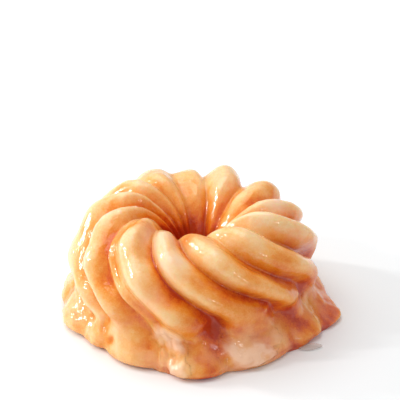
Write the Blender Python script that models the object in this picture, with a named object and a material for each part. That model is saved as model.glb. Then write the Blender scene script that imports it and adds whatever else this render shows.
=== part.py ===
# A honey cruller: a ring of soft choux dough, piped through a star nozzle with a twist, fried and glazed.
# It is one solid. Its rounded ridges wind from the hole over the crown down to a waist, and below the waist
# the dough has spread into a skirt of lumps that stands flat.
# Z points up, the origin is the middle of the footprint, and the front of the cruller faces -Y.

import math
import random

import bpy
import numpy as np

MM = 0.001

# Driving dimensions
CREST_RADIUS = 21.7 * MM
FOOT_RADIUS = 40.0 * MM
CROWN_OFFSET = -2.4 * MM
SKIRT_HEIGHT = 8.0 * MM
CREASE_DEPTH = 1.4 * MM
# The height of the middle line of the dough
CORE_HEIGHT = 12.0 * MM
# The radii in millimetres between which the valleys go from their inner depth to their outer one
CREST_WIDTH = (13, 24)

# Mesh density: columns for each ridge, and rows for each station of the section
RIDGE_COLUMNS = 9
STATION_ROWS = 2

# The ridges, counterclockwise from the right-hand side. Each row starts with the valley before its ridge:
# the angle at the crest, the angles that the valley turns through from there into the hole, out to the
# widest part of the crown and down to the foot, in degrees, and its shares of the full valley depth inside
# the crest and outside it. Then come how far the ridge stands above the others, as a share of the valley
# depth, how far its foot reaches beyond the foot radius, and the height of that foot, in millimetres.
RIDGES = (
    (14, -24, 25, 36, 0.7, 1.0, 0.10, 3.2, 6.0),
    (47, -13, 26, 30, 1.0, 1.1, 0.03, 1.6, 6.0),
    (80, -18, 20, 26, 1.1, 0.9, -0.25, 1.6, 7.0),
    (108, -12, -12, 42, 0.6, 0.45, 0.02, 5.1, 8.0),
    (131, -24, 12, 55, 0.5, 0.9, 0.02, 5.0, 9.0),
    (156, -34, 6, 53, 0.6, 1.0, 0.14, 1.8, 9.0),
    (179, -44, 27, 44, 0.7, 1.0, 0.14, 1.9, 9.0),
    (202, -50, 29, 49, 0.7, 0.7, -0.45, 1.4, 9.0),
    (209, -49, 36, 49, 0.2, 0.35, 0.28, 3.4, 8.0),
    (236, -44, 36, 47, 0.1, 1.0, 0.05, 0.7, 8.0),
    (263, -36, 40, 54, 0.7, 1.1, 0.08, 1.2, 11.0),
    (293, -30, 36, 44, 0.2, 0.9, 0.25, 4.8, 3.5),
    (328, -30, 30, 38, 0.8, 1.1, 0.38, 0.8, 3.5),
    (352, -28, 28, 38, 0.4, 1.0, 0.20, 1.0, 5.0),
)
# Where the arc of a ridge's section starts, in degrees: 0 would be a half circle with upright sides
ARC_START = 22.0
# How far the back of a ridge lies towards the valley before it, as a share of the ridge's width, and how
# softly the two sides of a valley run into each other, where 0 would be a sharp fold
LEAN = 0.08
VALLEY_SOFTNESS = 0.5

# The section of the ring, from the middle of its flat base in through the hole, over the crest and down to
# the foot. Each row is a radius and a height in millimetres, the ridge depth there in millimetres, and the
# shares of the turns into the hole, out to the crown and down to the foot that the valleys have made.
STATIONS = (
    (25.0, -0.4, 0.3, 0.0, 0.0, 0.0),
    (14.5, -0.4, 0.3, 1.3, 0.0, 0.0),
    (9.6, 0.8, 0.7, 1.7, 0.0, 0.0),
    (7.3, 4.2, 0.7, 1.6, 0.0, 0.0),
    (6.2, 9.6, 0.8, 1.45, 0.0, 0.0),
    (5.6, 15.6, 0.9, 1.25, 0.0, 0.0),
    (6.6, 21.6, 1.1, 1.0, 0.0, 0.0),
    (9.0, 27.0, 1.6, 0.7, 0.0, 0.0),
    (12.4, 31.8, 2.4, 0.42, 0.0, 0.0),
    (16.6, 35.4, 3.2, 0.18, 0.0, 0.0),
    (21.7, 37.0, 4.0, 0.0, 0.0, 0.0),
    (27.0, 35.8, 4.6, 0.0, 0.15, 0.0),
    (31.7, 32.5, 5.0, 0.0, 0.34, 0.0),
    (35.5, 27.4, 5.0, 0.0, 0.62, 0.0),
    (37.9, 21.6, 5.0, 0.0, 1.0, 0.0),
    (38.4, 16.6, 4.8, 0.0, 0.7, 0.4),
    (37.1, 12.4, 3.2, 0.0, 0.3, 0.75),
    (37.0, 9.2, 1.0, 0.0, 0.1, 0.95),
    (38.8, 5.6, 0.5, 0.0, 0.0, 1.0),
    (40.0, 2.4, 0.4, 0.0, 0.0, 1.0),
    (38.6, -0.2, 0.4, 0.0, 0.0, 0.95),
    (34.5, -0.4, 0.3, 0.0, 0.0, 0.6),
)

# The lumps and hollows, most of them on the skirt. Each row is a place in millimetres from the middle of the
# footprint, how far the lump spreads, and how far it pushes the surface out, or in where it is negative,
# in millimetres.
LUMPS = (
    (-37.4, -14.9, 6.4, 5.0, 1.1),
    (-33.1, -18.5, 7.6, 2.4, -1.4),
    (-31.4, -24.3, 5.1, 4.0, 1.0),
    (-28.6, -24.8, 9.5, 2.2, -1.2),
    (-27.0, -28.0, 5.5, 2.2, -1.4),
    (-21.3, -30.8, 5.7, 7.0, 1.4),
    (-9.4, -37.5, 1.1, 2.4, -1.6),
    (-6.0, -40.4, 2.4, 3.5, 0.8),
    (4.5, -33.2, 14.6, 4.0, -2.2),
    (12.1, -33.8, 7.8, 4.5, 1.6),
    (26.1, -22.4, 12.0, 3.6, -2.4),
    (31.8, -21.8, 6.8, 3.2, -0.9),
    (36.7, -17.8, 4.6, 2.8, 0.7),
    (8.0, 28.0, 35.5, 3.5, 1.0),
)

# The dough has swollen unevenly, in broad waves that run every way
SWELLING = 0.16 * MM
SWELLING_WAVES = 8
WAVES_PER_METRE = (45, 95)
SWELLING_SEED = 11
# The height over which the lumps and the swelling fade in above the flat base
BASE_FADE = (0.2 * MM, 2.5 * MM)


def catmull_rom(table, at):
    """Rows of the closed table, read smoothly between its entries at the positions in at."""
    table = np.asarray(table, float)
    first = np.floor(at).astype(int)
    share = (at - first)[:, None]
    before, start, end, after = (table[(first + k) % len(table)] for k in (-1, 0, 1, 2))
    return 0.5 * (
        2 * start
        + (end - before) * share
        + (2 * before - 5 * start + 4 * end - after) * share**2
        + (3 * start - before - 3 * end + after) * share**3
    )


def smooth_step(value, low, high):
    """0 where the value is under low, 1 where it is over high, and an even curve between them."""
    share = np.clip((value - low) / (high - low), 0, 1)
    return share * share * (3 - 2 * share)


def lobe(share):
    """A rounded ridge across its width: how far across a point stands, and its height from 0 to 1."""
    low = math.radians(ARC_START)
    arc = low + (math.pi - 2 * low) * share
    across = 0.5 - np.cos(arc) / (2 * math.cos(low))
    rise = (np.sin(arc) - math.sin(low)) / (1 - math.sin(low))
    across = across - LEAN * 4 * across * (1 - across)
    soft = VALLEY_SOFTNESS
    rise = rise + soft * (np.exp(-rise / soft) - 1)
    return across, rise / (1 + soft * (math.exp(-1 / soft) - 1))


def cruller_points(columns, rows):
    """The surface of the cruller for columns round the ring and rows round its section, both from 0 to 1."""
    at = rows * len(STATIONS)
    radius, height, depth, *shares = catmull_rom(STATIONS, at).T
    step = 0.05
    along = catmull_rom(STATIONS, at + step) - catmull_rom(STATIONS, at - step)
    length = np.hypot(along[:, 0], along[:, 1])

    place = columns * len(RIDGES)
    ridge = np.minimum(place.astype(int), len(RIDGES) - 1)
    across, rise = lobe(place - ridge)
    table = np.array(RIDGES)
    after = np.roll(table, -1, axis=0)
    after[-1, 0] += 360
    blend = across[:, None]
    start, *turns, inner, outer = (table[ridge, :6] + blend * (after[ridge, :6] - table[ridge, :6])).T
    angle = np.radians(start + sum(turn * share for turn, share in zip(turns, shares)))

    lift, reach, foot_height = table[ridge, 6:].T
    edge = (reach + np.where(across < 0.5, table[ridge - 1, 7], after[ridge, 7])) / 2
    reach = (edge + (reach - edge) * rise) * MM + CREASE_DEPTH * outer * (rise - 1)
    valley = inner + (outer - inner) * smooth_step(radius, *CREST_WIDTH)
    out = depth * (valley * (rise - 1) + lift * rise)
    radius = (radius - along[:, 1] / length * out) * MM
    height = np.maximum(height + along[:, 0] / length * out, 0) * MM
    spread = (radius / FOOT_RADIUS) ** 4 / (1 + (height / (foot_height * MM)) ** 4)
    radius = radius + spread * reach
    offset = CROWN_OFFSET * (1 - 1 / (1 + (height / SKIRT_HEIGHT) ** 4))
    return np.stack([radius * np.cos(angle) + offset, radius * np.sin(angle), height], axis=1)


def uneven(points):
    """The points with the lumps and the swelling of the dough, which push away from its middle line."""
    push = np.zeros(len(points))
    luck = random.Random(SWELLING_SEED)
    for _ in range(SWELLING_WAVES):
        heading = [luck.gauss(0, 1) for _ in range(3)]
        pace = 2 * math.pi * luck.uniform(*WAVES_PER_METRE) / math.hypot(*heading)
        push += SWELLING * np.sin(points @ heading * pace + luck.uniform(0, 2 * math.pi))
    for x, y, z, spread, out in LUMPS:
        near = np.linalg.norm(points - np.array((x, y, z)) * MM, axis=1) / (spread * MM)
        push += out * MM * np.exp(-near * near)
    core = points * (1, 1, 0)
    core *= CREST_RADIUS / np.linalg.norm(core, axis=1, keepdims=True)
    core[:, 2] = CORE_HEIGHT
    away = points - core
    away /= np.linalg.norm(away, axis=1, keepdims=True)
    return points + away * (push * smooth_step(points[:, 2], *BASE_FADE))[:, None]


def centred(points):
    """The points with the middle of their footprint at the origin."""
    middle = (points.min(axis=0) + points.max(axis=0)) / 2
    return points - middle * (1, 1, 0)


def dough():
    """A browned, thinly glazed surface."""
    material = bpy.data.materials.new("glazed_dough")
    material.use_nodes = True
    surface = material.node_tree.nodes["Principled BSDF"]
    surface.inputs["Base Color"].default_value = (0.83, 0.46, 0.17, 1)
    surface.inputs["Roughness"].default_value = 0.3
    surface.inputs["Metallic"].default_value = 0
    return material


def steps(angle, count):
    """The share of a full turn that an angle stands for, on the nearest of count even steps."""
    return np.round(angle / (2 * math.pi) * count) % count / count


def make_cruller():
    """The ring starts as a torus, and each of its points then moves to its place on the cruller."""
    columns = RIDGE_COLUMNS * len(RIDGES)
    rows = STATION_ROWS * len(STATIONS)
    bpy.ops.mesh.primitive_torus_add(
        major_segments=columns,
        minor_segments=rows,
        major_radius=CREST_RADIUS,
        minor_radius=CREST_RADIUS / 2,
    )
    cruller = bpy.context.object
    cruller.name = "cruller"
    mesh = cruller.data
    points = np.empty(len(mesh.vertices) * 3)
    mesh.vertices.foreach_get("co", points)
    x, y, z = points.reshape(-1, 3).T
    around = steps(np.arctan2(y, x), columns)
    across = steps(1.5 * math.pi - np.arctan2(z, np.hypot(x, y) - CREST_RADIUS), rows)
    points = centred(uneven(centred(cruller_points(around, across))))
    mesh.vertices.foreach_set("co", points.ravel())
    mesh.update()
    mesh.shade_smooth()
    mesh.materials.append(dough())
    return cruller


for old in list(bpy.data.objects):
    bpy.data.objects.remove(old)
pastry = bpy.data.collections.new("honey_cruller")
bpy.context.scene.collection.children.link(pastry)
made = make_cruller()
for home in list(made.users_collection):
    home.objects.unlink(made)
pastry.objects.link(made)
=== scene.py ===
# %% [markdown]
# # A honey cruller
#
# A cruller is a ring of choux dough. It is piped through a star nozzle with a twist, so its ridges wind from the
# hole over the crown and down the side, where the soft dough spreads into a lumpy skirt. It is fried until it is
# golden and then dipped in thin honey glaze, which stays clear on the flanks and turns milky where it is thick.
#
# The solid model gives the size and the place of everything. This script grows the same shape finer, gives it
# the dough's small lumps, lets the glaze pool on the skirt and run off it in one place, and then finds the
# colours and the light that make it look freshly glazed.

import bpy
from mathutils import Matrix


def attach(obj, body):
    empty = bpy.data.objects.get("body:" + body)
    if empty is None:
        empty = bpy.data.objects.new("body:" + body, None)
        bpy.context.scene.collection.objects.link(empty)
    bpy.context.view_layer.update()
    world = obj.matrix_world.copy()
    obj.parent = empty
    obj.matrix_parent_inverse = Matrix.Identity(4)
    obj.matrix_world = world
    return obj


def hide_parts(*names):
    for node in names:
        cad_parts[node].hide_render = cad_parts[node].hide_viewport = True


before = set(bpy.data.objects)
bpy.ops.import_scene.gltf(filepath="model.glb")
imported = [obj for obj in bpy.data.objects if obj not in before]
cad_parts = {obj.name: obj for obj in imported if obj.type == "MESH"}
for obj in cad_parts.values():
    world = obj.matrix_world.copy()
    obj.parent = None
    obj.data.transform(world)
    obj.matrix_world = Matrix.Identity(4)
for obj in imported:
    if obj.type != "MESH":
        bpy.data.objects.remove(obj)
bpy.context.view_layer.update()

# %% [markdown]
# ## Sums on sockets
#
# Both the shape and the finishes are made with nodes, and a formula in nodes is hard to read. So one small class
# wraps a socket: a sum written on it in Python adds the Math nodes for that sum. Anything that isn't a sum, such
# as a noise, comes from its one method `node`, which sets a node up before it fills its sockets, because the
# settings decide which sockets a node has.

# %% A socket that can be calculated with
import math
import random
from functools import partial

import bpy
import numpy as np
from mathutils import Vector


class Field:
    """A socket of a node tree. A sum written on it adds the nodes that work it out."""

    def __init__(self, socket):
        self.socket = socket

    @classmethod
    def node(cls, tree, kind, settings={}, inputs={}, output=0):
        """A new node of any kind, as the field that it puts out."""
        made = tree.nodes.new(kind)
        for name, value in settings.items():
            if name == "stops":
                ramp = made.color_ramp.elements
                while len(ramp) < len(value):
                    ramp.new(1.0)
                for stop, (place, colour) in zip(ramp, value):
                    stop.position = place
                    stop.color = (*colour, 1)
            else:
                setattr(made, name, value)
        for name, value in inputs.items():
            if isinstance(value, Field):
                tree.links.new(value.socket, made.inputs[name])
            else:
                made.inputs[name].default_value = value
        return cls(made.outputs[output])

    def math(self, operation, *others):
        """This number put through a Math node."""
        inputs = dict(enumerate((self, *others)))
        return Field.node(self.socket.id_data, "ShaderNodeMath", {"operation": operation}, inputs)

    def vector(self, operation, *others, output=0):
        """This vector put through a Vector Math node."""
        inputs = dict(enumerate((self, *others)))
        settings = {"operation": operation}
        return Field.node(self.socket.id_data, "ShaderNodeVectorMath", settings, inputs, output)

    def scaled(self, factor):
        """This vector, made longer by a factor."""
        settings = {"operation": "SCALE"}
        inputs = {"Vector": self, "Scale": factor}
        return Field.node(self.socket.id_data, "ShaderNodeVectorMath", settings, inputs)

    def part(self, axis):
        """One coordinate of this vector."""
        return Field.node(self.socket.id_data, "ShaderNodeSeparateXYZ", {}, {"Vector": self}, axis)

    def smooth(self, low, high):
        """0 where this is under low, 1 where it is over high, and an even curve between them."""
        settings = {"interpolation_type": "SMOOTHSTEP"}
        inputs = {"Value": self, "From Min": low, "From Max": high}
        return Field.node(self.socket.id_data, "ShaderNodeMapRange", settings, inputs)

    def colour(self, low, high):
        """One colour where this is 0, the other where it is 1, and a mixture between them."""
        settings = {"data_type": "RGBA", "clamp_factor": True}
        inputs = {0: self, 6: low, 7: high}
        return Field.node(self.socket.id_data, "ShaderNodeMix", settings, inputs, 2)

    def __add__(self, other):
        return self.math("ADD", other)

    def __mul__(self, other):
        return self.math("MULTIPLY", other)

    def __sub__(self, other):
        return self.math("SUBTRACT", other)

    def __rsub__(self, other):
        return self * -1 + other

    def __truediv__(self, other):
        return self.math("DIVIDE", other)

    def __rtruediv__(self, other):
        return self**-1 * other

    def __pow__(self, other):
        return self.math("POWER", other)

    __radd__ = __add__
    __rmul__ = __mul__


# %% [markdown]
# ## What the ring follows
#
# The nozzle's star gives the ridges and the turning hand gives the twist, but no two ridges are alike. So the
# shape rests on two short tables. One has a row for each ridge, with the angles that its valley passes through.
# The other is the section of the ring, from its flat base through the hole, over the crest and down to the foot.
# Two more lists place what follows no rule: lumps and hollows, most of them near the skirt, and the pools of glaze.

# %% The ridges and the section
MM = 0.001

# Start angle, turns into the hole, out to the crown and down to the foot in degrees, the valley's depth inside
# the crest and outside it as shares of the section's, lift, and the reach and height of the foot in mm
RIDGE_NAMES = (
    "start", "into_hole", "to_crown", "to_foot", "inner", "valley", "lift", "reach", "foot_height"
)
RIDGES = (
    (14, -24, 25, 36, 0.7, 1.0, 0.10, 3.2, 6.0),
    (47, -13, 26, 30, 1.0, 1.1, 0.03, 1.6, 6.0),
    (80, -18, 20, 26, 1.1, 0.9, -0.25, 1.6, 7.0),
    (108, -12, -12, 42, 0.6, 0.45, 0.02, 5.1, 8.0),
    (131, -24, 12, 55, 0.5, 0.9, 0.02, 5.0, 9.0),
    (156, -34, 6, 53, 0.6, 1.0, 0.14, 1.8, 9.0),
    (179, -44, 27, 44, 0.7, 1.0, 0.14, 1.9, 9.0),
    (202, -50, 29, 49, 0.7, 0.7, -0.45, 1.4, 9.0),
    (209, -49, 36, 49, 0.2, 0.35, 0.28, 3.4, 8.0),
    (236, -44, 36, 47, 0.1, 1.0, 0.05, 0.7, 8.0),
    (263, -36, 40, 54, 0.7, 1.1, 0.08, 1.2, 11.0),
    (293, -30, 36, 44, 0.2, 0.9, 0.25, 4.8, 3.5),
    (328, -30, 30, 38, 0.8, 1.1, 0.38, 0.8, 3.5),
    (352, -28, 28, 38, 0.4, 1.0, 0.20, 1.0, 5.0),
)
# Radius, height and ridge depth in mm, then the shares of the turns into the hole, out to the crown and down to
# the foot
SECTION_NAMES = ("depth", "hole_share", "crown_share", "foot_share")
SECTION = (
    (25.0, -0.4, 0.3, 0.0, 0.0, 0.0),
    (14.5, -0.4, 0.3, 1.3, 0.0, 0.0),
    (9.6, 0.8, 0.7, 1.7, 0.0, 0.0),
    (7.3, 4.2, 0.7, 1.6, 0.0, 0.0),
    (6.2, 9.6, 0.8, 1.45, 0.0, 0.0),
    (5.6, 15.6, 0.9, 1.25, 0.0, 0.0),
    (6.6, 21.6, 1.1, 1.0, 0.0, 0.0),
    (9.0, 27.0, 1.6, 0.7, 0.0, 0.0),
    (12.4, 31.8, 2.4, 0.42, 0.0, 0.0),
    (16.6, 35.4, 3.2, 0.18, 0.0, 0.0),
    (21.7, 37.0, 4.0, 0.0, 0.0, 0.0),
    (27.0, 35.8, 4.6, 0.0, 0.15, 0.0),
    (31.7, 32.5, 5.0, 0.0, 0.34, 0.0),
    (35.5, 27.4, 5.0, 0.0, 0.62, 0.0),
    (37.9, 21.6, 5.0, 0.0, 1.0, 0.0),
    (38.4, 16.6, 4.8, 0.0, 0.7, 0.4),
    (37.1, 12.4, 3.2, 0.0, 0.3, 0.75),
    (37.0, 9.2, 1.0, 0.0, 0.1, 0.95),
    (38.8, 5.6, 0.5, 0.0, 0.0, 1.0),
    (40.0, 2.4, 0.4, 0.0, 0.0, 1.0),
    (38.6, -0.2, 0.4, 0.0, 0.0, 0.95),
    (34.5, -0.4, 0.3, 0.0, 0.0, 0.6),
)
# Lumps and hollows: where each is, how far it spreads and how far it pushes the surface out, in mm
LUMPS = (
    (-37.4, -14.9, 6.4, 5.0, 1.1),
    (-33.1, -18.5, 7.6, 2.4, -1.4),
    (-31.4, -24.3, 5.1, 4.0, 1.0),
    (-28.6, -24.8, 9.5, 2.2, -1.2),
    (-27.0, -28.0, 5.5, 2.2, -1.4),
    (-21.3, -30.8, 5.7, 7.0, 1.4),
    (-9.4, -37.5, 1.1, 2.4, -1.6),
    (-6.0, -40.4, 2.4, 3.5, 0.8),
    (4.5, -33.2, 14.6, 4.0, -2.2),
    (12.1, -33.8, 7.8, 4.5, 1.6),
    (26.1, -22.4, 12.0, 3.6, -2.4),
    (31.8, -21.8, 6.8, 3.2, -0.9),
    (36.7, -17.8, 4.6, 2.8, 0.7),
    (8.0, 28.0, 35.5, 3.5, 1.0),
)
# Where glaze has pooled: the place, how far the pool spreads and how thick it is, in mm
POOLS = (
    (17.0, -37.5, 1.5, 3.5, 0.7),
    (11.0, -39.0, 2.0, 2.5, 0.6),
    (-9.0, -40.0, 2.2, 4.0, 0.7),
    (29.5, -27.5, 4.0, 2.5, 0.6),
    (-12.0, -33.4, 12.0, 3.2, 1.1),
    (-8.5, -35.0, 10.5, 3.0, 1.2),
    (-5.5, -37.0, 8.5, 2.2, 0.9),
    (9.5, -35.5, 8.0, 4.0, 0.9),
    (15.5, -36.0, 5.5, 4.5, 0.9),
    (20.5, -32.5, 5.0, 3.6, 0.9),
    (24.5, -28.5, 8.5, 2.6, 0.8),
    (32.5, -11.2, 10.5, 1.8, 0.7),
    (35.2, -11.8, 7.2, 1.8, 0.7),
    (36.6, -14.5, 4.8, 1.8, 0.7),
    (-6.0, -41.0, 3.0, 3.0, 0.8),
)
print(len(RIDGES), "ridges, a section through", len(SECTION), "points and", len(LUMPS), "lumps")

# %% [markdown]
# The tables become a pattern mesh that the node tree can read: a loose point for each ridge, and a loop of edges
# for the section, each with its row of numbers as attributes.

# %% The pattern
pattern_points = [(0, 0, 0)] * len(RIDGES) + [(row[0] * MM, 0, row[1] * MM) for row in SECTION]
loop = range(len(RIDGES), len(pattern_points))
pattern = bpy.data.meshes.new("ring_pattern")
pattern.from_pydata(pattern_points, list(zip(loop, [*loop[1:], loop[0]])), [])
for column, name in enumerate(RIDGE_NAMES):
    values = [row[column] for row in RIDGES] + [0] * len(SECTION)
    pattern.attributes.new(name, "FLOAT", "POINT").data.foreach_set("value", values)
for column, name in enumerate(SECTION_NAMES, 2):
    values = [0] * len(RIDGES) + [row[column] for row in SECTION]
    pattern.attributes.new(name, "FLOAT", "POINT").data.foreach_set("value", values)
print("pattern:", len(pattern.vertices), "points with", len(pattern.attributes), "attributes")

# %% [markdown]
# ## The rule as a node tree
#
# A ring could be sculpted ridge by ridge, but its shape follows a rule, so Geometry Nodes grow it: a plain ring is
# swept first, and then one Set Position moves each point to where the rule puts it. Every size that is worth
# trying out is an input of the tree, with its usual value here.

# %% Inputs of the tree
rule = bpy.data.node_groups.new("ring_of_ridges", "GeometryNodeTree")
rule.interface.new_socket("Geometry", in_out="INPUT", socket_type="NodeSocketGeometry")
RULE_INPUTS = {
    "Columns per ridge": ("NodeSocketInt", 30),
    "Rows per station": ("NodeSocketInt", 10),
    "Arc start": ("NodeSocketFloat", math.radians(22)),
    "Lean": ("NodeSocketFloat", 0.08),
    "Valley softness": ("NodeSocketFloat", 0.5),
    "Foot radius": ("NodeSocketFloat", 40 * MM),
    "Crown offset": ("NodeSocketFloat", -2.4 * MM),
    "Skirt height": ("NodeSocketFloat", 8 * MM),
    "Crease depth": ("NodeSocketFloat", 1.4 * MM),
    "Filling": ("NodeSocketFloat", 0.8),
    "Swelling": ("NodeSocketFloat", 0.16 * MM),
    "Lumps": ("NodeSocketFloat", 0.3 * MM),
    "Wrinkles": ("NodeSocketFloat", 0.08 * MM),
    "Skirt lumps": ("NodeSocketFloat", 1.2 * MM),
    "Skirt rims": ("NodeSocketFloat", 0.8 * MM),
    "Glaze": ("NodeSocketFloat", 0.0),
    "Seed": ("NodeSocketFloat", 3.0),
    "Dough": ("NodeSocketMaterial", None),
}
for name, (kind, value) in RULE_INPUTS.items():
    socket = rule.interface.new_socket(name, in_out="INPUT", socket_type=kind)
    if value is not None:
        socket.default_value = value
rule.interface.new_socket("Geometry", in_out="OUTPUT", socket_type="NodeSocketGeometry")
print("inputs of the tree:", ", ".join(RULE_INPUTS))

# %% [markdown]
# Every node below takes one of these inputs, or reads or keeps a number on the points, so each of the three gets
# a short name.

# %% Short names for what the tree needs often
add = partial(Field.node, rule)
given = rule.nodes.new("NodeGroupInput")
table = Field(given.outputs["Geometry"])


def size(name):
    """One of the tree's own inputs."""
    return Field(given.outputs[name])


def read(name, kind="FLOAT"):
    """An attribute of the geometry that a node works on."""
    return add("GeometryNodeInputNamedAttribute", {"data_type": kind}, {"Name": name}, "Attribute")


def store(geometry, name, value, kind="FLOAT"):
    """The geometry with a value kept on its points."""
    settings = {"data_type": kind, "domain": "POINT"}
    inputs = {"Geometry": geometry, "Name": name, "Value": value}
    return add("GeometryNodeStoreNamedAttribute", settings, inputs)


# %% [markdown]
# The section loop is smoothed as a Catmull-Rom curve and swept round a circle, which gives an even grid of faces
# that is closed both ways, so there is no seam. Each point keeps its place on the section, the direction in which
# the section runs there, and the number of its column.

# %% Sweep the section round the ring
CREST_RADIUS = 21.7 * MM
section = add("GeometryNodeMeshToCurve", {}, {"Mesh": table})
section = add("GeometryNodeCurveSplineType", {"spline_type": "CATMULL_ROM"}, {"Curve": section})
rows = {"Geometry": section, "Resolution": size("Rows per station")}
section = add("GeometryNodeSetSplineResolution", {}, rows)
section = add("GeometryNodeResampleCurve", {"mode": "EVALUATED"}, {"Curve": section})
place = add("GeometryNodeInputPosition")
section = store(section, "section", place, "FLOAT_VECTOR")
section = store(section, "along", add("GeometryNodeInputTangent"), "FLOAT_VECTOR")
row = add("GeometryNodeInputIndex") / (size("Rows per station") * len(SECTION))
section = store(section, "section_share", row)

round_the_ring = size("Columns per ridge") * len(RIDGES)
circle = {"Resolution": round_the_ring, "Radius": CREST_RADIUS}
ring = add("GeometryNodeCurvePrimitiveCircle", {"mode": "RADIUS"}, circle)
ring = store(ring, "column", add("GeometryNodeInputIndex"))
body = add("GeometryNodeCurveToMesh", {}, {"Curve": ring, "Profile Curve": section})
columns = RULE_INPUTS["Columns per ridge"][1] * len(RIDGES)
print("grid:", columns, "columns by", RULE_INPUTS["Rows per station"][1] * len(SECTION), "rows")

# %% [markdown]
# A star nozzle's rib comes out as a round back between two narrow valleys. So a ridge is a piece of an arc, which
# stands 1 high on its back and 0 in its valleys, leans a little with the twist, and has its valleys softened,
# because soft dough can't keep a sharp corner.

# %% Which ridge a point is on, and how far across it
column = read("column")
per_ridge = size("Columns per ridge")
ridge = ((column + 0.5) / per_ridge).math("FLOOR")
share = column / per_ridge - ridge
low = size("Arc start")
arc = low + share * (math.pi - 2 * low)
across = 0.5 - arc.math("COSINE") / (2 * low.math("COSINE"))
rise = (arc.math("SINE") - low.math("SINE")) / (1 - low.math("SINE"))
across = across - 4 * size("Lean") * across * (1 - across)
soft = size("Valley softness")
rise = rise + soft * ((rise / soft * -1).math("EXPONENT") - 1)
rise = rise / (1 + soft * ((-1 / soft).math("EXPONENT") - 1))
print("nodes for the sweep and the arcs:", len(rule.nodes))


def of_ridge(name, step=0):
    """A number from the table of ridges, for this point's ridge or for one that is some steps further round."""
    index = (ridge + (step + len(RIDGES))).math("MODULO", len(RIDGES))
    inputs = {"Geometry": table, "Value": read(name), "Index": index}
    settings = {"data_type": "FLOAT", "domain": "POINT"}
    return add("GeometryNodeSampleIndex", settings, inputs, "Value")


def between_valleys(name):
    """A number that belongs to the valleys: from the one before this ridge to the one after it."""
    before = of_ridge(name)
    after = of_ridge(name, 1)
    if name == "start":
        after = after + ridge.math("GREATER_THAN", len(RIDGES) - 1.5) * 360
    return before + (after - before) * across


# %% [markdown]
# The twist turns a point round the ring: a little on its way into the hole, and more on its way out over the crown
# and down to the foot. Then the point moves out from the section by its ridge's depth. Below the waist each ridge
# ends in a foot of its own, which reaches out where the dough slumped, with creases between the feet.

# %% How far round the ring a point is turned
TURNS = {"into_hole": "hole_share", "to_crown": "crown_share", "to_foot": "foot_share"}
turned = between_valleys("start")
for turn, how_far in TURNS.items():
    turned = turned + between_valleys(turn) * read(how_far)
angle = turned.math("RADIANS")
print("twist from hole to foot:", [to_foot - hole for _, hole, _, to_foot, *_ in RIDGES], "degrees")

# %% How far out and how high it lies
on_left = across.math("LESS_THAN", 0.5)
next_reach = of_ridge("reach", -1) * on_left + of_ridge("reach", 1) * (1 - on_left)
edge = (of_ridge("reach") + next_reach) / 2
inner = between_valleys("inner")
outer = between_valleys("valley")
reach = (edge + (of_ridge("reach") - edge) * rise) * MM + size("Crease depth") * outer * (rise - 1)
on_section = read("section", "FLOAT_VECTOR")
valley = inner + (outer - inner) * on_section.part("X").smooth(13 * MM, 24 * MM)
stands_out = read("depth") * MM * (valley * (rise - 1) + of_ridge("lift") * rise)
along = read("along", "FLOAT_VECTOR")
radius = on_section.part("X") - along.part("Z") * stands_out
height = (on_section.part("Z") + along.part("X") * stands_out).math("MAXIMUM", 0)
foot = (height / (of_ridge("foot_height") * MM)) ** 4 + 1
radius = radius + (radius / size("Foot radius")) ** 4 / foot * reach
offset = size("Crown offset") * (1 - 1 / ((height / size("Skirt height")) ** 4 + 1))
print("ridges stand up to", max(row[2] for row in SECTION), "mm over their valleys")

# %% [markdown]
# Two things are kept on the points before they move, because the finish needs them: how far across its ridge a
# point lies, and a direction that runs along the ridges.

# %% Move the points there
x = radius * angle.math("COSINE") + offset
y = radius * angle.math("SINE")
target = add("ShaderNodeCombineXYZ", {}, {"X": x, "Y": y, "Z": height})
body = store(body, "across", across)
turn = column / round_the_ring * (2 * math.pi)
flow = {"X": turn.math("COSINE"), "Y": turn.math("SINE"), "Z": read("section_share")}
body = store(body, "flow", add("ShaderNodeCombineXYZ", {}, flow), "FLOAT_VECTOR")
body = add("GeometryNodeSetPosition", {}, {"Geometry": body, "Position": target})


def centred(geometry):
    """The geometry with the middle of its footprint at the origin, as in the solid model."""
    low = add("GeometryNodeBoundBox", {}, {"Geometry": geometry}, "Min")
    high = Field(low.socket.node.outputs["Max"])
    back = low.vector("ADD", high).vector("MULTIPLY", (-0.5, -0.5, 0))
    return add("GeometryNodeSetPosition", {}, {"Geometry": geometry, "Offset": back})


body = centred(body)
print("the rule takes", len(rule.nodes), "nodes")

# %% [markdown]
# ## Lumps, swellings and wrinkles
#
# Choux dough puffs up unevenly in hot fat. Broad swellings change the width of a ridge, small lumps dot its back,
# and the glaze dries in fine wrinkles. The skirt is the most uneven, because the dough sagged there before its
# shell set. Each is a noise of its own size that moves the points along the surface's normal, and all of them
# fade out on the flat base.

# %% Tools for the relief


def noise(scale, seed_step, detail=2.0):
    """Smooth noise from -1 to 1, with bumps about 1 / scale apart."""
    settings = {"noise_dimensions": "4D"}
    inputs = {"Vector": place, "W": size("Seed") + seed_step, "Scale": scale, "Detail": detail}
    return add("ShaderNodeTexNoise", settings, inputs) * 2 - 1


tall = place.part("Z")
off_base = tall.smooth(0.2 * MM, 2.5 * MM)
low_down = 1 - tall.smooth(6 * MM, 14 * MM)
normal = add("GeometryNodeInputNormal")


def near(where, spot, spread):
    """1 where a place is the spot, and less and less away from it. The spot and its spread are in mm."""
    away = where.vector("DISTANCE", [mm * MM for mm in spot], output="Value") / (spread * MM)
    return (away * away * -1).math("EXPONENT")


def depth_under_mean(blur):
    """How far a point lies below the mean of the points round it, which is more than 0 in a hollow."""
    settings = {"data_type": "FLOAT_VECTOR"}
    mean = add("GeometryNodeBlurAttribute", settings, {"Value": place, "Iterations": blur})
    return mean.vector("SUBTRACT", place).vector("DOT_PRODUCT", normal, output="Value")


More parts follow.
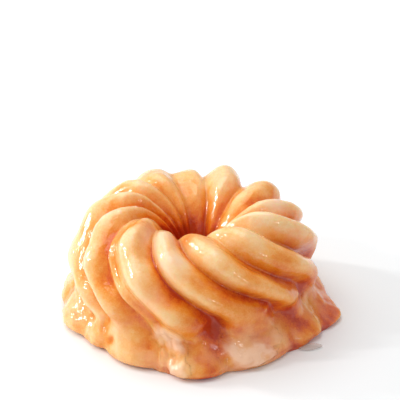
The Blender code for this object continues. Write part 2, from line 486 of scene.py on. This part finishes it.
def pushed(geometry, distance):
    """The geometry with each point moved out along the normal."""
    inputs = {"Geometry": geometry, "Offset": normal.scaled(distance)}
    return add("GeometryNodeSetPosition", {}, inputs)


# %% [markdown]
# Dough and glaze have filled the bottom of each valley, so a point that lies under the mean of its neighbours
# is lifted towards it, first over a wide stretch and then over a narrow one.

# %% Fill the valleys
for blur in (24, 10):
    body = pushed(body, depth_under_mean(blur).math("MAXIMUM", 0) * size("Filling"))
    print("filled over", blur, "steps of the grid")

# %% [markdown]
# The ring swells like bread, away from the middle of its own section. Eight broad waves that run every way make
# it uneven without a pattern, and the listed lumps and hollows come on top. The solid model has the same.

# %% Swell the ring and place the lumps
CORE_HEIGHT = 12 * MM
WAVES = 8
core = place.vector("MULTIPLY", (1, 1, 0)).vector("NORMALIZE").scaled(CREST_RADIUS)
core = core.vector("ADD", (0, 0, CORE_HEIGHT))
away = place.vector("SUBTRACT", core).vector("NORMALIZE")
push = 0
luck = random.Random(11)
for _ in range(WAVES):
    heading = [luck.gauss(0, 1) for _ in range(3)]
    waves_per_metre = luck.uniform(45, 95) / math.hypot(*heading)
    pace = [2 * math.pi * waves_per_metre * part for part in heading]
    wave = place.vector("DOT_PRODUCT", pace, output="Value") + luck.uniform(0, 2 * math.pi)
    push = wave.math("SINE") * size("Swelling") + push
for *spot, spread, out in LUMPS:
    push = near(place, spot, spread) * (out * MM) + push
inputs = {"Geometry": body, "Offset": away.scaled(push * off_base)}
body = centred(add("GeometryNodeSetPosition", {}, inputs))
print(WAVES, "waves and", len(LUMPS), "lumps")

# %% [markdown]
# The small relief is too fine for the solid model: lumps a few millimetres wide and wrinkles about one wide all
# over, and on the skirt low lumps and the sharp little rims where one lobe of dough lies on the next.

# %% Add the small relief
relief = noise(240, 10) * size("Lumps")
relief = relief + noise(900, 20) * size("Wrinkles")
relief = relief + noise(110, 30) * low_down * size("Skirt lumps")
relief = relief - noise(210, 60, 1).math("ABSOLUTE") * low_down * size("Skirt rims")
body = pushed(body, relief * off_base)
print("with the relief:", len(rule.nodes), "nodes")

# %% [markdown]
# Pushed points can fold over one another at the bottom of a narrow valley, where the real glaze lies in a soft,
# round seam. Blurring the positions there, and only there, opens the folds and rounds the seams.

# %% Round the seams
SEAM_WIDTH = 0.16
DEEPEST_FOLD = (-8.5, 35.8, 20.0)
across = read("across")
seam = 1 - across.smooth(0, SEAM_WIDTH) * (1 - across.smooth(1 - SEAM_WIDTH, 1))
seam = seam.math("MAXIMUM", near(place, DEEPEST_FOLD, 5)) * off_base
settings = {"data_type": "FLOAT_VECTOR"}
inputs = {"Value": place, "Iterations": 14, "Weight": seam}
rounded = add("GeometryNodeBlurAttribute", settings, inputs)
body = add("GeometryNodeSetPosition", {}, {"Geometry": body, "Position": rounded})
print(f"the seams take {2 * SEAM_WIDTH:.0%} of a ridge's width")

# %% [markdown]
# ## What the finish needs to know
#
# The finish needs to know where the hollows are, because it paints shade there. A point lies in a hollow when
# the points round it stand further out than it does: Blur Attribute gives the mean of the places round it, and
# the step from the point to that mean, along the normal, is how deep it lies, in mm. The sides that face right and
# front are painted browner as shade, away from the lights on the left, so how far a point faces that way is
# kept too.

# %% Measure the hollows and the sides
body = store(body, "hollow", depth_under_mean(80) / MM)
body = store(body, "shaded", normal.part("X") - normal.part("Y"))
print("kept for the finish: across, flow, hollow and shaded")

# %% [markdown]
# ## Pools of glaze
#
# On the skirt the glaze has run together into milky pools. They could be blobs modelled by hand, but blobs would
# stand off the uneven dough or sink into it. So each point first gets the thickness of the glaze on it: the sum of
# the pools near by, broken up by noise, less the thin coat that is everywhere and only shows as gloss.

# %% Thicken the glaze where it has pooled
# The thickness on the points is in mm, and so is the thin coat
THIN_COAT = 0.3
SUNK = 0.25 * MM
thick = 0
for *spot, spread, depth in POOLS:
    thick = near(place, spot, spread) * depth + thick
uneven = 1 + noise(260, 40, 4) * 1.2 + noise(480, 45, 2) * 0.9
thick = thick * off_base * uneven + noise(900, 50) * 0.12 - THIN_COAT
body = store(body, "thick", thick)
print(len(POOLS), "pools, the thickest", max(row[-1] for row in POOLS), "mm")

# %% [markdown]
# The same tree makes the pools when its input Glaze is 1. It keeps only the part of the dough's surface where the
# glaze is thick, sinks it a little, raises a copy of it by the glaze's thickness, and keeps the sunk faces as the
# underside. So a pool is a thin, closed shell that fits the dough exactly.

# %% Cut the pools out and close them underneath
# The cut runs a little below the dough's surface, so a pool's rim never shows
dry = read("thick").math("LESS_THAN", -0.12) * size("Glaze")
inputs = {"Geometry": body, "Selection": dry}
under = pushed(add("GeometryNodeDeleteGeometry", {"domain": "POINT"}, inputs), -SUNK)
lifted = (read("thick") * 0.8).math("MAXIMUM", -0.1) * MM
inputs = {"Mesh": under, "Offset": normal, "Offset Scale": lifted + SUNK, "Individual": False}
top = add("GeometryNodeExtrudeMesh", {"mode": "FACES"}, inputs)
under = add("GeometryNodeFlipFaces", {}, {"Mesh": under})
shell = add("GeometryNodeJoinGeometry")
for part in (top, under):
    rule.links.new(part.socket, shell.socket.node.inputs["Geometry"])
shell = add("GeometryNodeMergeByDistance", {}, {"Geometry": shell, "Distance": 0.001 * MM})
chosen = {"Switch": size("Glaze").math("GREATER_THAN", 0.5), "False": body, "True": shell}
body = add("GeometryNodeSwitch", {"input_type": "GEOMETRY"}, chosen)

# %% [markdown]
# ## Growing it
#
# The tree ends with plain faces and a material. A modifier runs it on the pattern, and the result is kept as a
# mesh of its own, so nothing in the scene depends on the tree later.

# %% End the tree
body = add("GeometryNodeSetShadeSmooth", {}, {"Geometry": body})
body = add("GeometryNodeRealizeInstances", {}, {"Geometry": body})
body = add("GeometryNodeSetMaterial", {}, {"Geometry": body, "Material": size("Dough")})
rule.links.new(body.socket, rule.nodes.new("NodeGroupOutput").inputs["Geometry"])
tree_inputs = [item for item in rule.interface.items_tree if item.in_out == "INPUT"]
socket_of = {item.name: item.identifier for item in tree_inputs}
print("the whole tree:", len(rule.nodes), "nodes,", len(rule.links), "links")


def grow(name, material, **sizes):
    """Runs the tree on the pattern, with some inputs changed, and returns the result as a plain mesh object."""
    seed = bpy.data.objects.new(name + "_pattern", pattern)
    bpy.context.scene.collection.objects.link(seed)
    modifier = seed.modifiers.new("rule", "NODES")
    modifier.node_group = rule
    modifier[socket_of["Dough"]] = material
    for key, value in sizes.items():
        modifier[socket_of[key]] = value
    graph = bpy.context.evaluated_depsgraph_get()
    mesh = bpy.data.meshes.new_from_object(seed.evaluated_get(graph))
    bpy.data.objects.remove(seed)
    mesh.name = name
    made = bpy.data.objects.new(name, mesh)
    bpy.context.scene.collection.objects.link(made)
    return made


# %% [markdown]
# ## The finish of the dough
#
# The dough is gold on the flanks and cream where the glaze has turned milky. It is painted darker as shade, orange
# in the valleys and deep red-brown in the hole and the deepest hollows. Light goes some way into it, red light
# furthest, so it gets subsurface scattering, and the clear coat of glaze makes it as glossy as wet varnish.

# %% Dough material
dough = bpy.data.materials.new("glazed_dough")
dough.use_nodes = True
surface = dough.node_tree.nodes["Principled BSDF"]
paint = partial(Field.node, dough.node_tree)
here = paint("ShaderNodeTexCoord", {}, {}, "Object")
surface.inputs["Roughness"].default_value = 0.1
surface.inputs["IOR"].default_value = 1.5
surface.inputs["Specular IOR Level"].default_value = 0.6
surface.inputs["Subsurface Weight"].default_value = 0.4
surface.inputs["Subsurface Radius"].default_value = (1.0, 0.35, 0.1)
surface.inputs["Subsurface Scale"].default_value = 3 * MM
print("red light goes", round(surface.inputs["Subsurface Scale"].default_value / MM, 1), "mm into the dough")


def measured(name, output="Fac"):
    """A number that the node tree kept on the points."""
    return paint("ShaderNodeAttribute", {"attribute_name": name}, {}, output)


def cloud(scale, detail=3.0):
    """Smooth noise from -0.5 to 0.5 for the finish."""
    inputs = {"Vector": here, "Scale": scale, "Detail": detail}
    return paint("ShaderNodeTexNoise", {}, inputs) - 0.5


def streaks(across, along, detail=3.0):
    """Noise from -0.5 to 0.5 that is drawn out along the ridges."""
    stretched = measured("flow", "Vector").vector("MULTIPLY", (across, across, along))
    inputs = {"Vector": stretched, "Scale": 1.0, "Detail": detail}
    return paint("ShaderNodeTexNoise", {}, inputs) - 0.5


# %% [markdown]
# One number says how pale each spot is, from deep red-brown at 0.1 to cream at 0.8, and a ramp turns it into a
# colour. Backs of ridges are pale, and hollows and the hole are painted brown and darkest as shade. Some spots are
# paler or browner than this rule makes them, so each of those has a row of its own, chosen and tuned by comparing
# the render with the photograph. Several browner rows, in the hollows at the waist and low on the foot, paint
# shade.

# %% Spots that are paler or browner
# The place and the spread in mm, and how much paler the spot is; the browner rows at the waist and foot paint shade
SPOTS = (
    (3.4, -33.0, 12.8, 4.0, -0.16),
    (3.4, -35.5, 8.5, 6.5, -0.10),
    (10.8, -34.0, 12.3, 3.5, -0.22),
    (8.3, -35.3, 21.5, 4.0, -0.16),
    (-3.7, -38.2, 16.6, 4.0, -0.16),
    (26.6, -19.9, 28.3, 4.5, -0.20),
    (22.5, -21.9, 30.4, 3.0, -0.12),
    (16.3, -30.3, 27.1, 4.0, -0.14),
    (36.2, -8.8, 17.6, 4.0, -0.16),
    (-25.0, -14.2, 33.5, 4.5, -0.18),
    (-20.0, -11.5, 36.5, 4.0, -0.20),
    (-3.2, -17.0, 35.5, 3.4, -0.40),
    (22.6, 15.0, 36.0, 3.8, -0.20),
    (16.2, 6.0, 34.6, 3.5, -0.24),
    (8.7, -15.6, 38.0, 3.0, -0.16),
    (-14.0, 23.3, 36.2, 3.5, -0.14),
    (-28.5, 3.5, 36.0, 4.8, -0.16),
    (-13.8, -18.8, 34.8, 3.6, 0.20),
    (-28.4, -14.8, 30.3, 3.5, -0.10),
    (-0.8, -34.5, 27.6, 4.0, -0.12),
    (25.0, -9.5, 33.5, 3.0, 0.14),
    (-17.0, -26.5, 31.8, 4.0, 0.18),
    (-2.6, 18.8, 34.5, 3.0, -0.20),
    (-42.0, 1.0, 5.8, 7.0, -0.22),
    (-24.8, 14.7, 34.9, 4.0, -0.18),
    (-36.4, 1.5, 29.3, 4.0, -0.16),
    (27.4, -20.1, 10.6, 3.0, -0.26),
    (31.8, -20.4, 6.0, 2.6, -0.20),
    (2.0, -39.6, 0.5, 4.0, -0.25),
    (41.0, -8.0, 4.5, 5.5, -0.18),
    (7.2, -19.5, 34.3, 3.5, 0.16),
    (18.0, -9.6, 34.5, 4.8, 0.32),
    (22.9, 0.8, 35.9, 4.0, 0.29),
    (-5.5, -27.0, 34.0, 4.5, 0.25),
    (9.1, -37.8, 2.2, 3.0, 0.20),
    (-31.0, -21.0, 10.8, 5.5, 0.18),
    (2.6, 20.5, 33.8, 4.0, 0.16),
    (-7.8, 21.5, 34.0, 4.0, 0.14),
    (-10.4, -33.8, 12.2, 3.5, 0.30),
    (12.0, -35.5, 6.5, 5.0, 0.10),
    (34.0, -12.0, 9.0, 2.2, 0.12),
    (37.0, -15.5, 4.5, 2.2, 0.10),
    (-5.5, -41.4, 3.7, 3.0, 0.12),
)
print(len(SPOTS), "spots, from", min(row[-1] for row in SPOTS), "to", max(row[-1] for row in SPOTS))

# %% [markdown]
# What makes a place pale or brown is added up term by term. The heat browns the ridges, painted shade darkens what
# lies deep, the hole, the lower rim and the sides away from the lights, and thin noise of every size keeps it from
# looking computed.

# %% How pale each place is
hollow = measured("hollow")
right, back, up = (here.part(axis) for axis in "XYZ")
on_ridge = up.smooth(9 * MM, 16 * MM)
across_ridge = measured("across")
# Painted shade: browner in hollows, and on the left most of all, where the valleys are wide
to_right = right.smooth(-25 * MM, 10 * MM)
pale = 0.41 - hollow * 0.18 + hollow.math("MAXIMUM", 0) * (to_right * 0.36 - 0.22)
# The ridges took more heat than the skirt, one flank more than the other, and their tops less than their sides
pale = pale - on_ridge * 0.20 - (across_ridge - 0.5) * on_ridge * 0.08 + up * 7
# Painted shade: browner to the right and to the front, and where the surface faces that way, away from the lights
pale = pale - right * 1.6 + back.math("MINIMUM", 10 * MM)
pale = pale - measured("shaded").math("MAXIMUM", -0.5) * 0.10
# Painted shade: darkest down in the hole, and brown along the lower rim where the foot meets the floor
from_axis = here.vector("MULTIPLY", (1, 1, 0)).vector("LENGTH", output="Value")
hole_shade = (1 - from_axis.smooth(8 * MM, 17 * MM)) * (1 - up.smooth(18 * MM, 34 * MM))
pale = pale - hole_shade * 0.42 - (1 - up.smooth(0.5 * MM, 4.5 * MM)) * 0.16
# Blotches and streaks of every size
pale = pale + streaks(9, 14) * 0.2 + cloud(180, 4) * 0.34 + cloud(700, 2) * 0.14 + cloud(2200, 1) * 0.14
for *spot, spread, paler in SPOTS:
    pale = pale + near(here, spot, spread) * paler
print("paleness takes", len(dough.node_tree.nodes), "nodes")

# %% [markdown]
# The ramp runs through the colours that choux dough passes in hot fat, the other way round: deep red-brown first,
# then orange, gold and cream. Its dark end also paints the shade in the hole and the hollows.

# %% From paleness to colour
BROWNING_AND_SHADE = (
    (0.10, (0.52, 0.045, 0.006)),
    (0.20, (0.70, 0.12, 0.008)),
    (0.30, (0.79, 0.215, 0.012)),
    (0.40, (0.85, 0.315, 0.045)),
    (0.50, (0.90, 0.425, 0.12)),
    (0.60, (0.93, 0.53, 0.21)),
    (0.70, (0.94, 0.61, 0.30)),
    (0.80, (0.93, 0.68, 0.40)),
)
browning_and_shade = paint("ShaderNodeValToRGB", {"stops": BROWNING_AND_SHADE}, {"Fac": pale})
print("colours from red-brown", BROWNING_AND_SHADE[0][1], "to cream", BROWNING_AND_SHADE[-1][1])

# %% [markdown]
# Sugar that has begun to crystallise makes the glaze milky. It does so in faint clouds all over, in a few spots on
# the backs of the ridges, and in the pools, the more the thicker they are. It is kept out of the hollows, so that
# their painted shade stays dark. Peach stands for milky white here, because the dough shines through.

# %% Where the glaze is milky
# The place and the spread in mm, and how much milkier the glaze is there
MILKY_SPOTS = (
    (-12.8, -17.7, 35.8, 5.0, 0.60),
    (-14.8, -34.9, 24.3, 4.5, 0.30),
    (-8.3, -27.5, 34.2, 4.5, 0.45),
    (24.0, 1.0, 35.7, 5.0, 0.58),
    (31.0, -8.0, 31.0, 4.0, 0.30),
    (7.3, 16.8, 36.7, 4.0, 0.25),
    (14.0, -36.0, 4.0, 6.0, 0.45),
    (23.0, -31.0, 6.0, 5.0, 0.28),
    (-11.8, -37.4, 3.8, 5.0, 0.30),
    (34.0, -12.5, 8.0, 3.0, 0.20),
)
MILKY = (0.98, 0.62, 0.43, 1)
milky = (cloud(120, 4) + 0.08 - on_ridge * 0.14).smooth(0, 0.25) * 0.18
for *spot, spread, more in MILKY_SPOTS:
    milky = milky + near(here, spot, spread) * (cloud(260, 4) * 1.5 + 1) * more
thick = measured("thick")
# Less milk in the hollows keeps their painted shade dark
milky = milky * (1 - hollow.smooth(-0.1, 0.3)) + thick.smooth(-0.05, 1.0) * 0.6
coloured = milky.math("MINIMUM", 0.8).colour(browning_and_shade, MILKY)
dough.node_tree.links.new(coloured.socket, surface.inputs["Base Color"])
print(len(MILKY_SPOTS), "milky spots")

# %% [markdown]
# The glaze has dried in fine crinkles that run along the ridges, and they break every reflection into short,
# bright dashes. They are too fine for the mesh, so a bump makes them. They fade out near the valleys, where the
# streaks of one ridge don't meet those of the next. On the pools the crinkles run every way.

# %% Crinkles in the glaze
inside = across_ridge.smooth(0, 0.15) * (1 - across_ridge.smooth(0.85, 1))
crinkled = cloud(1000, 1) * 0.4 - streaks(9, 16, 1).math("ABSOLUTE") * inside * 1.6
crinkled = crinkled + cloud(650, 2) * thick.smooth(0, 0.4) * 1.2
bumps = paint("ShaderNodeBump", {}, {"Height": crinkled, "Distance": 0.25 * MM, "Strength": 1.0})
dough.node_tree.links.new(bumps.socket, surface.inputs["Normal"])
print("the finish takes", len(dough.node_tree.nodes), "nodes")

# %% [markdown]
# With the tree and the finish ready, the cruller itself takes one line. It stands for the solid model's one piece.

# %% Grow the cruller
cruller = grow("cruller_dough", dough)
print("cruller:", len(cruller.data.polygons), "faces")
hollows = np.empty(len(cruller.data.vertices))
cruller.data.attributes["hollow"].data.foreach_get("value", hollows)
print("a tenth of the points lies deeper than", np.percentile(hollows, 90).round(2), "mm")
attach(cruller, "root")
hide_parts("cruller")

# %% [markdown]
# The pools take the same finish as the dough, because the glaze is clear at a pool's edge and milky only where it
# is thick, and both surfaces know how thick it is. Only the light that wanders below the surface is left out: a
# thin shell would lose the red part of it through its underside and turn green.

# %% Grow the pools
glaze = dough.copy()
glaze.name = "milky_glaze"
glaze.node_tree.nodes["Principled BSDF"].inputs["Subsurface Weight"].default_value = 0
pools = grow("glaze_pools", glaze, Glaze=1.0)
print("pools:", len(pools.data.polygons), "faces")
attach(pools, "root")

# %% [markdown]
# A little glaze has run off the right foot and set as a flat, clear drop beside it. It could grow with the pools,
# but it is thinner and clearer than they are, and it lies off the dough. A sphere that is pressed flat, stretched
# and given a slightly wavy edge makes it, closed and without a seam.

# %% The drop on the ground
clear = bpy.data.materials.new("clear_glaze")
clear.use_nodes = True
surface = clear.node_tree.nodes["Principled BSDF"]
surface.inputs["Base Color"].default_value = (0.75, 0.66, 0.62, 1)
surface.inputs["Roughness"].default_value = 0.06
surface.inputs["Alpha"].default_value = 0.45
# The middle and the half sizes, in mm
DROP_MIDDLE = (33.6, -23.6, 0.5)
DROP_HALF = (3.9, 2.0, 0.45)
bpy.ops.mesh.primitive_uv_sphere_add(segments=48, ring_count=24, radius=1)
drop = bpy.context.object
drop.name = "glaze_drop"
drop.data.materials.append(clear)
for vert in drop.data.vertices:
    x, y, z = vert.co
    wave = 1 + 0.12 * math.sin(3 * math.atan2(y, x) + 0.8)
    vert.co = [(middle + share * half) * MM
               for middle, half, share in zip(DROP_MIDDLE, DROP_HALF, (x * wave, y * wave, z))]
drop.data.shade_smooth()
print("drop:", len(drop.data.polygons), "faces")
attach(drop, "root")

# %% [markdown]
# ## The studio
#
# A plain, pale floor in a white room, and soft daylight. Two narrow windows on the left draw the bright dashes on
# the left flanks of the ridges, a broad light overhead gives the soft shadow, and a low, small lamp on the right
# puts a few sparks on the pools. A narrow window makes crisp reflections at the same brightness, where a wide one
# only makes pale haze.

# %% Floor, lights and world
SPAN = 3.0
corners = [(-SPAN, -SPAN, 0), (SPAN, -SPAN, 0), (SPAN, SPAN, 0), (-SPAN, SPAN, 0)]
floor_mesh = bpy.data.meshes.new("floor")
floor_mesh.from_pydata(corners, [], [(0, 1, 2, 3)])
floor = bpy.data.objects.new("floor", floor_mesh)
bpy.context.scene.collection.objects.link(floor)
white = bpy.data.materials.new("white_floor")
white.use_nodes = True
surface = white.node_tree.nodes["Principled BSDF"]
surface.inputs["Base Color"].default_value = (0.9, 0.92, 0.93, 1)
surface.inputs["Roughness"].default_value = 0.9
surface.inputs["Specular IOR Level"].default_value = 0.1
floor_mesh.materials.append(white)

world = bpy.data.worlds.new("white_room")
bpy.context.scene.world = world
world.use_nodes = True
background = world.node_tree.nodes["Background"]
background.inputs["Color"].default_value = (1, 1, 1, 1)
background.inputs["Strength"].default_value = 0.55


def soft_light(name, direction, distance, sides, power):
    """A rectangular light that faces the cruller's middle. The distance and the sides are in metres."""
    light = bpy.data.lights.new(name, "AREA")
    light.shape = "RECTANGLE"
    light.size, light.size_y = sides
    light.energy = power
    made = bpy.data.objects.new(name, light)
    bpy.context.scene.collection.objects.link(made)
    away = Vector(direction).normalized()
    made.location = away * distance + Vector((0, 0, 20 * MM))
    made.rotation_euler = away.to_track_quat("Z", "Y").to_euler()
    print(name, "gives", power, "W")


soft_light("left_window", (-0.9, 0.3, 0.42), 0.9, (0.04, 0.24), 2.5)
soft_light("front_window", (-0.85, -0.16, 0.55), 0.9, (0.03, 0.2), 1.7)
soft_light("low_lamp", (0.5, -0.79, 0.35), 0.9, (0.05, 0.035), 0.3)
soft_light("overhead", (-0.25, 0.25, 1.0), 1.2, (1.2, 1.2), 8.6)

# %% [markdown]
# A long lens looks down at the cruller from the front, far enough away that near and far ridges look alike.

# %% Camera
ELEVATION = math.radians(29.5)
DISTANCE = 0.62
AIM_HEIGHT = 0.0391
camera = bpy.data.cameras.new("camera")
camera.lens = 180
camera.sensor_width = 36
camera_object = bpy.data.objects.new("camera", camera)
bpy.context.scene.collection.objects.link(camera_object)
camera_height = AIM_HEIGHT + DISTANCE * math.sin(ELEVATION)
camera_object.location = (0, -DISTANCE * math.cos(ELEVATION), camera_height)
camera_object.rotation_euler = (math.pi / 2 - ELEVATION, 0, 0)
bpy.context.scene.camera = camera_object
bpy.context.scene.view_settings.view_transform = "Standard"
print("camera at", [round(value, 3) for value in camera_object.location], "m")
